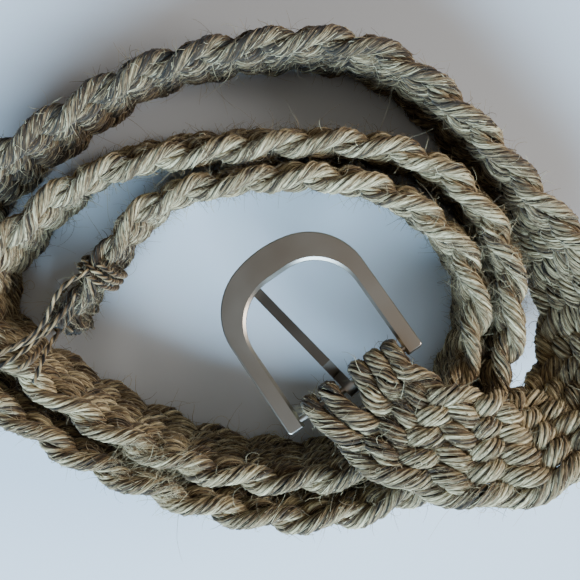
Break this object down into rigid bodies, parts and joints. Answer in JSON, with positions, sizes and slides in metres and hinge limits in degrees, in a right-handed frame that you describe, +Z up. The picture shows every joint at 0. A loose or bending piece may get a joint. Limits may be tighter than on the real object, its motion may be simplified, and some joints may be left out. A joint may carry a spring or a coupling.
{
  "type": "plaited rope belt with buckle",
  "caption": "Flat belt plaited from jute rope, coiled on its edge, with a horseshoe heel-bar buckle and a flat prong that swing on the bar.",
  "frame": {"origin": "on the surface the coil stands on, under the middle of the coil", "axes": "+X along the coil's longest side, +Y across it towards the side away from the buckle's heel, +Z up"},
  "size_m": [0.2313, 0.1632, 0.0505],
  "materials": {
    "jute_rope": "coarse hairy jute rope, straw to brown",
    "jute_twine": "thin hairy jute yarn",
    "satin_steel": "satin, antique nickel",
    "prong_steel": "satin, slightly darker than the frame"
  },
  "bodies": {
    "strap": {"rope_1": "jute_rope", "rope_2": "jute_rope", "rope_3": "jute_rope", "rope_4": "jute_rope", "rope_5": "jute_rope", "tip_binding": "jute_twine", "tail_yarn_long": "jute_twine", "tail_yarn_short": "jute_twine"},
    "buckle": {"buckle_frame": "satin_steel", "heel_bar": "satin_steel"},
    "prong": {"prong": "prong_steel"}
  },
  "joints": [
    {"name": "buckle_swing", "type": "hinge", "parent": "strap", "child": "buckle", "pos_m": [0.0249, -0.0336, 0.0373], "axis": [0.8231, 0.5678, 0], "range_deg": [-8, 100]},
    {"name": "prong_swing", "type": "hinge", "parent": "buckle", "child": "prong", "pos_m": [0.0249, -0.0336, 0.0373], "axis": [0.8231, 0.5678, 0], "range_deg": [-35, 0]}
  ]
}
